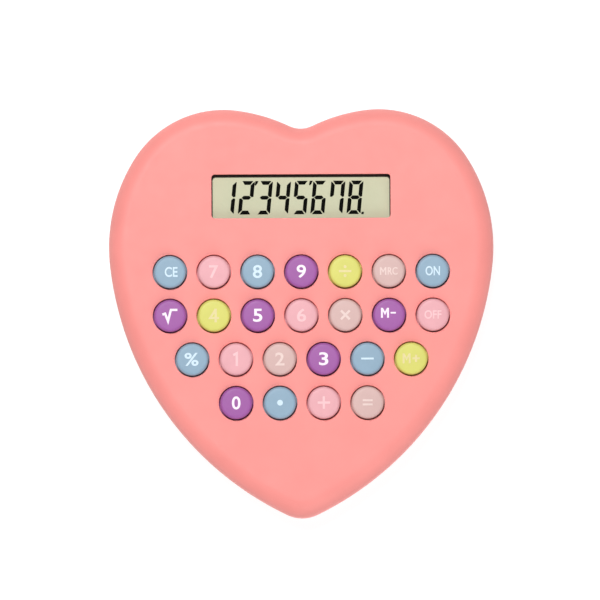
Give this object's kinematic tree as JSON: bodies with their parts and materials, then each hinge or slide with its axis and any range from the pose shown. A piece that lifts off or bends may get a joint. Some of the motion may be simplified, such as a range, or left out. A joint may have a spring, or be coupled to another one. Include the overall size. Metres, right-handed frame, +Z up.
{
  "type": "desk calculator",
  "caption": "Heart-shaped desk calculator with a segment display over rows of round sprung keys, run from a button cell under a coin-turned cover.",
  "frame": {"origin": "on the desk, under the middle of the heart's bounding box", "axes": "+X to the right as the calculator is read, +Y away from the user towards the display and the cleft, +Z up out of the face"},
  "size_m": [0.12, 0.1276, 0.0182],
  "materials": {
    "case_pink": "satin moulded plastic",
    "key_pink": "satin",
    "key_blue": "satin",
    "key_purple": "satin",
    "key_yellow": "satin",
    "key_beige": "satin",
    "clear_window": "clear, polished",
    "lcd_film": "greenish grey, low sheen",
    "lcd_glass": "clear",
    "white_plastic": "plain moulded",
    "dark_rubber": "soft",
    "board_green": "solder resist",
    "black_epoxy": "glossy blob",
    "capacitor_brown": "plain",
    "resistor_tan": "plain",
    "mat_rubber": "translucent white silicone",
    "screw_steel": "nickel plated",
    "foot_rubber": "dark grey rubber",
    "cell_steel": "bright can",
    "contact_brass": "plated spring strip",
    "lead_red": "vinyl",
    "lead_black": "vinyl"
  },
  "bodies": {
    "case": {"front_shell": "case_pink", "rear_shell": "case_pink", "display_lens": "clear_window", "window_gasket": "dark_rubber", "lcd_front_polariser": "lcd_film", "lcd_front_glass": "lcd_glass", "lcd_rear_glass": "lcd_glass", "lcd_rear_polariser": "lcd_film", "lcd_frame": "white_plastic", "zebra_strip": "dark_rubber", "main_board": "board_green", "chip_blob": "black_epoxy", "capacitors": "capacitor_brown", "resistor": "resistor_tan", "rubber_mat": "mat_rubber", "board_screws": "screw_steel", "case_screws": "screw_steel", "rubber_feet": "foot_rubber", "battery_cell": "cell_steel", "contact_positive": "contact_brass", "contact_negative": "contact_brass", "lead_positive": "lead_red", "lead_negative": "lead_black"},
    "battery_cover": {"battery_cover": "case_pink"},
    "key_ce": {"key_ce": "key_blue"},
    "key_7": {"key_7": "key_pink"},
    "key_8": {"key_8": "key_blue"},
    "key_9": {"key_9": "key_purple"},
    "key_divide": {"key_divide": "key_yellow"},
    "key_mrc": {"key_mrc": "key_beige"},
    "key_on": {"key_on": "key_blue"},
    "key_sqrt": {"key_sqrt": "key_purple"},
    "key_4": {"key_4": "key_yellow"},
    "key_5": {"key_5": "key_purple"},
    "key_6": {"key_6": "key_pink"},
    "key_multiply": {"key_multiply": "key_beige"},
    "key_m_minus": {"key_m_minus": "key_purple"},
    "key_off": {"key_off": "key_pink"},
    "key_percent": {"key_percent": "key_blue"},
    "key_1": {"key_1": "key_pink"},
    "key_2": {"key_2": "key_beige"},
    "key_3": {"key_3": "key_purple"},
    "key_minus": {"key_minus": "key_blue"},
    "key_m_plus": {"key_m_plus": "key_yellow"},
    "key_0": {"key_0": "key_purple"},
    "key_point": {"key_point": "key_blue"},
    "key_plus": {"key_plus": "key_pink"},
    "key_equals": {"key_equals": "key_beige"}
  },
  "joints": [
    {"name": "key_ce_press", "type": "slide", "parent": "case", "child": "key_ce", "axis": [0, 0, -1], "range_m": [0, 0.0012], "stiffness_N_per_m": 400, "springref_m": -0.0008, "deforming": ["rubber_mat"]},
    {"name": "key_7_press", "type": "slide", "parent": "case", "child": "key_7", "axis": [0, 0, -1], "range_m": [0, 0.0012], "stiffness_N_per_m": 400, "springref_m": -0.0008, "deforming": ["rubber_mat"]},
    {"name": "key_8_press", "type": "slide", "parent": "case", "child": "key_8", "axis": [0, 0, -1], "range_m": [0, 0.0012], "stiffness_N_per_m": 400, "springref_m": -0.0008, "deforming": ["rubber_mat"]},
    {"name": "key_9_press", "type": "slide", "parent": "case", "child": "key_9", "axis": [0, 0, -1], "range_m": [0, 0.0012], "stiffness_N_per_m": 400, "springref_m": -0.0008, "deforming": ["rubber_mat"]},
    {"name": "key_divide_press", "type": "slide", "parent": "case", "child": "key_divide", "axis": [0, 0, -1], "range_m": [0, 0.0012], "stiffness_N_per_m": 400, "springref_m": -0.0008, "deforming": ["rubber_mat"]},
    {"name": "key_mrc_press", "type": "slide", "parent": "case", "child": "key_mrc", "axis": [0, 0, -1], "range_m": [0, 0.0012], "stiffness_N_per_m": 400, "springref_m": -0.0008, "deforming": ["rubber_mat"]},
    {"name": "key_on_press", "type": "slide", "parent": "case", "child": "key_on", "axis": [0, 0, -1], "range_m": [0, 0.0012], "stiffness_N_per_m": 400, "springref_m": -0.0008, "deforming": ["rubber_mat"]},
    {"name": "key_sqrt_press", "type": "slide", "parent": "case", "child": "key_sqrt", "axis": [0, 0, -1], "range_m": [0, 0.0012], "stiffness_N_per_m": 400, "springref_m": -0.0008, "deforming": ["rubber_mat"]},
    {"name": "key_4_press", "type": "slide", "parent": "case", "child": "key_4", "axis": [0, 0, -1], "range_m": [0, 0.0012], "stiffness_N_per_m": 400, "springref_m": -0.0008, "deforming": ["rubber_mat"]},
    {"name": "key_5_press", "type": "slide", "parent": "case", "child": "key_5", "axis": [0, 0, -1], "range_m": [0, 0.0012], "stiffness_N_per_m": 400, "springref_m": -0.0008, "deforming": ["rubber_mat"]},
    {"name": "key_6_press", "type": "slide", "parent": "case", "child": "key_6", "axis": [0, 0, -1], "range_m": [0, 0.0012], "stiffness_N_per_m": 400, "springref_m": -0.0008, "deforming": ["rubber_mat"]},
    {"name": "key_multiply_press", "type": "slide", "parent": "case", "child": "key_multiply", "axis": [0, 0, -1], "range_m": [0, 0.0012], "stiffness_N_per_m": 400, "springref_m": -0.0008, "deforming": ["rubber_mat"]},
    {"name": "key_m_minus_press", "type": "slide", "parent": "case", "child": "key_m_minus", "axis": [0, 0, -1], "range_m": [0, 0.0012], "stiffness_N_per_m": 400, "springref_m": -0.0008, "deforming": ["rubber_mat"]},
    {"name": "key_off_press", "type": "slide", "parent": "case", "child": "key_off", "axis": [0, 0, -1], "range_m": [0, 0.0012], "stiffness_N_per_m": 400, "springref_m": -0.0008, "deforming": ["rubber_mat"]},
    {"name": "key_percent_press", "type": "slide", "parent": "case", "child": "key_percent", "axis": [0, 0, -1], "range_m": [0, 0.0012], "stiffness_N_per_m": 400, "springref_m": -0.0008, "deforming": ["rubber_mat"]},
    {"name": "key_1_press", "type": "slide", "parent": "case", "child": "key_1", "axis": [0, 0, -1], "range_m": [0, 0.0012], "stiffness_N_per_m": 400, "springref_m": -0.0008, "deforming": ["rubber_mat"]},
    {"name": "key_2_press", "type": "slide", "parent": "case", "child": "key_2", "axis": [0, 0, -1], "range_m": [0, 0.0012], "stiffness_N_per_m": 400, "springref_m": -0.0008, "deforming": ["rubber_mat"]},
    {"name": "key_3_press", "type": "slide", "parent": "case", "child": "key_3", "axis": [0, 0, -1], "range_m": [0, 0.0012], "stiffness_N_per_m": 400, "springref_m": -0.0008, "deforming": ["rubber_mat"]},
    {"name": "key_minus_press", "type": "slide", "parent": "case", "child": "key_minus", "axis": [0, 0, -1], "range_m": [0, 0.0012], "stiffness_N_per_m": 400, "springref_m": -0.0008, "deforming": ["rubber_mat"]},
    {"name": "key_m_plus_press", "type": "slide", "parent": "case", "child": "key_m_plus", "axis": [0, 0, -1], "range_m": [0, 0.0012], "stiffness_N_per_m": 400, "springref_m": -0.0008, "deforming": ["rubber_mat"]},
    {"name": "key_0_press", "type": "slide", "parent": "case", "child": "key_0", "axis": [0, 0, -1], "range_m": [0, 0.0012], "stiffness_N_per_m": 400, "springref_m": -0.0008, "deforming": ["rubber_mat"]},
    {"name": "key_point_press", "type": "slide", "parent": "case", "child": "key_point", "axis": [0, 0, -1], "range_m": [0, 0.0012], "stiffness_N_per_m": 400, "springref_m": -0.0008, "deforming": ["rubber_mat"]},
    {"name": "key_plus_press", "type": "slide", "parent": "case", "child": "key_plus", "axis": [0, 0, -1], "range_m": [0, 0.0012], "stiffness_N_per_m": 400, "springref_m": -0.0008, "deforming": ["rubber_mat"]},
    {"name": "key_equals_press", "type": "slide", "parent": "case", "child": "key_equals", "axis": [0, 0, -1], "range_m": [0, 0.0012], "stiffness_N_per_m": 400, "springref_m": -0.0008, "deforming": ["rubber_mat"]},
    {"name": "battery_cover_turn", "type": "hinge", "parent": "case", "child": "battery_cover", "pos_m": [0, 0.041, 0.001], "axis": [0, 0, 1], "range_deg": [0, 45]}
  ]
}
